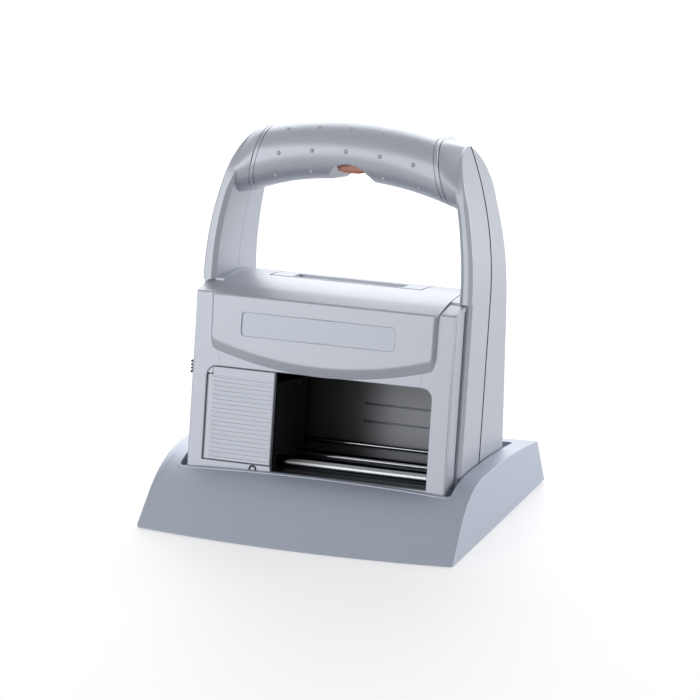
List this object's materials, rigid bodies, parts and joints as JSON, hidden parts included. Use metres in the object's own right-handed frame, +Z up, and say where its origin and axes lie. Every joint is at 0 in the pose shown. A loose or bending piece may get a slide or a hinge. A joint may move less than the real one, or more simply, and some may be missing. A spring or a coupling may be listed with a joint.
{
  "type": "handheld inkjet printer in a charging cradle",
  "caption": "Handheld inkjet printer with an arched grip, leaning in its charging cradle; its carriage, door, lid, trigger and switch move.",
  "frame": {"origin": "on the desk under the middle of the cradle", "axes": "+Z up, +X to the right seen from the front, -Y towards the front"},
  "size_m": [0.1584, 0.1416, 0.1853],
  "materials": {
    "cradle_plastic": "fine eroded texture, blue-grey",
    "silver_plastic": "silver lacquered moulding",
    "label_plate": "bare satin plate",
    "dark_plastic": "moulded dark grey",
    "black_plastic": "moulded black",
    "rubber": "soft black rubber",
    "steel": "zinc plated",
    "plate_steel": "black painted sheet steel",
    "rod_steel": "ground and polished",
    "brass": "gilded",
    "bronze": "sintered bronze",
    "board": "solder mask",
    "trigger_plastic": "salmon red moulding",
    "latch_plastic": "moulded green",
    "battery_wrap": "shrink wrap"
  },
  "bodies": {
    "cradle": {"cradle_shell": "cradle_plastic", "cradle_base_plate": "dark_plastic", "cradle_feet": "rubber", "cradle_screws": "steel", "cradle_circuit_board": "board", "contact_block": "black_plastic", "power_jack": "black_plastic"},
    "charge_pin_left": {"charge_pin_left": "brass"},
    "charge_pin_right": {"charge_pin_right": "brass"},
    "printer": {"front_cover": "silver_plastic", "hood": "silver_plastic", "badge_plate": "label_plate", "handle_frame_front": "silver_plastic", "handle_frame_rear": "silver_plastic", "grip_sleeve": "silver_plastic", "sole_frame": "black_plastic", "sole_pads": "black_plastic", "door_hinge_pin": "steel", "lid_hinge_pin": "steel", "housing_screws": "steel", "trigger_spring": "steel", "trigger_switch": "black_plastic", "power_switch_body": "black_plastic", "data_socket": "black_plastic", "charge_contacts": "brass", "chassis_left_plate": "plate_steel", "chassis_right_plate": "plate_steel", "chassis_deck": "plate_steel", "chassis_back_panel": "dark_plastic", "front_guide_rod": "rod_steel", "rear_guide_rod": "rod_steel", "scale_rod": "rod_steel", "drive_motor": "steel", "idler_axle": "steel", "timing_belt": "rubber", "main_circuit_board": "board", "battery_tray": "dark_plastic", "battery_pack": "battery_wrap", "battery_contacts": "brass"},
    "door": {"cartridge_door": "silver_plastic"},
    "lid": {"battery_lid": "silver_plastic"},
    "trigger": {"trigger_button": "trigger_plastic"},
    "power_slider": {"power_switch_knob": "black_plastic"},
    "carriage": {"carriage_body": "black_plastic", "rod_bushings": "bronze", "rear_bushing": "bronze", "belt_clamp": "black_plastic", "carriage_board": "board", "ink_cartridge": "black_plastic", "nozzle_plate": "brass"},
    "latch": {"cartridge_latch": "latch_plastic"},
    "motor_pulley": {"motor_pulley": "steel"},
    "idler_pulley": {"idler_pulley": "steel"}
  },
  "joints": [
    {"name": "printer_lift", "type": "slide", "parent": "cradle", "child": "printer", "axis": [0, 0.1822, 0.9833], "range_m": [0, 0.06]},
    {"name": "charge_pin_left_press", "type": "slide", "parent": "cradle", "child": "charge_pin_left", "axis": [0, 0.1822, 0.9833], "range_m": [-0.0015, 0], "stiffness_N_per_m": 200},
    {"name": "charge_pin_right_press", "type": "slide", "parent": "cradle", "child": "charge_pin_right", "axis": [0, 0.1822, 0.9833], "range_m": [-0.0015, 0], "stiffness_N_per_m": 200},
    {"name": "door_swing", "type": "hinge", "parent": "printer", "child": "door", "pos_m": [-0.0559, -0.03106, 0.04889], "axis": [0, -0.1822, -0.9833], "range_deg": [0, 95]},
    {"name": "lid_lift", "type": "hinge", "parent": "printer", "child": "lid", "pos_m": [-0.0015, 0.03815, 0.1013], "axis": [-1, 0, 0], "range_deg": [0, 70]},
    {"name": "trigger_press", "type": "slide", "parent": "printer", "child": "trigger", "axis": [0, 0.1822, 0.9833], "range_m": [0, 0.0025], "stiffness_N_per_m": 400, "deforming": ["trigger_spring"]},
    {"name": "power_slide", "type": "slide", "parent": "printer", "child": "power_slider", "axis": [0, 0.1822, 0.9833], "range_m": [0, 0.003]},
    {"name": "carriage_travel", "type": "slide", "parent": "printer", "child": "carriage", "axis": [1, 0, 0], "range_m": [0, 0.078]},
    {"name": "latch_swing", "type": "hinge", "parent": "carriage", "child": "latch", "pos_m": [-0.0404, 0.00756, 0.05699], "axis": [-1, 0, 0], "range_deg": [0, 18]},
    {"name": "motor_pulley_spin", "type": "hinge", "parent": "printer", "child": "motor_pulley", "pos_m": [-0.0515, 0.02194, 0.06653], "axis": [0, 0.1822, 0.9833], "continuous": true},
    {"name": "idler_spin", "type": "hinge", "parent": "printer", "child": "idler_pulley", "pos_m": [0.0515, 0.02194, 0.06653], "axis": [0, 0.1822, 0.9833], "continuous": true}
  ],
  "couplings": [
    {"joint": "motor_pulley_spin", "follows": "carriage_travel", "rad_per_m": 178.57},
    {"joint": "idler_spin", "follows": "carriage_travel", "rad_per_m": 178.57}
  ]
}
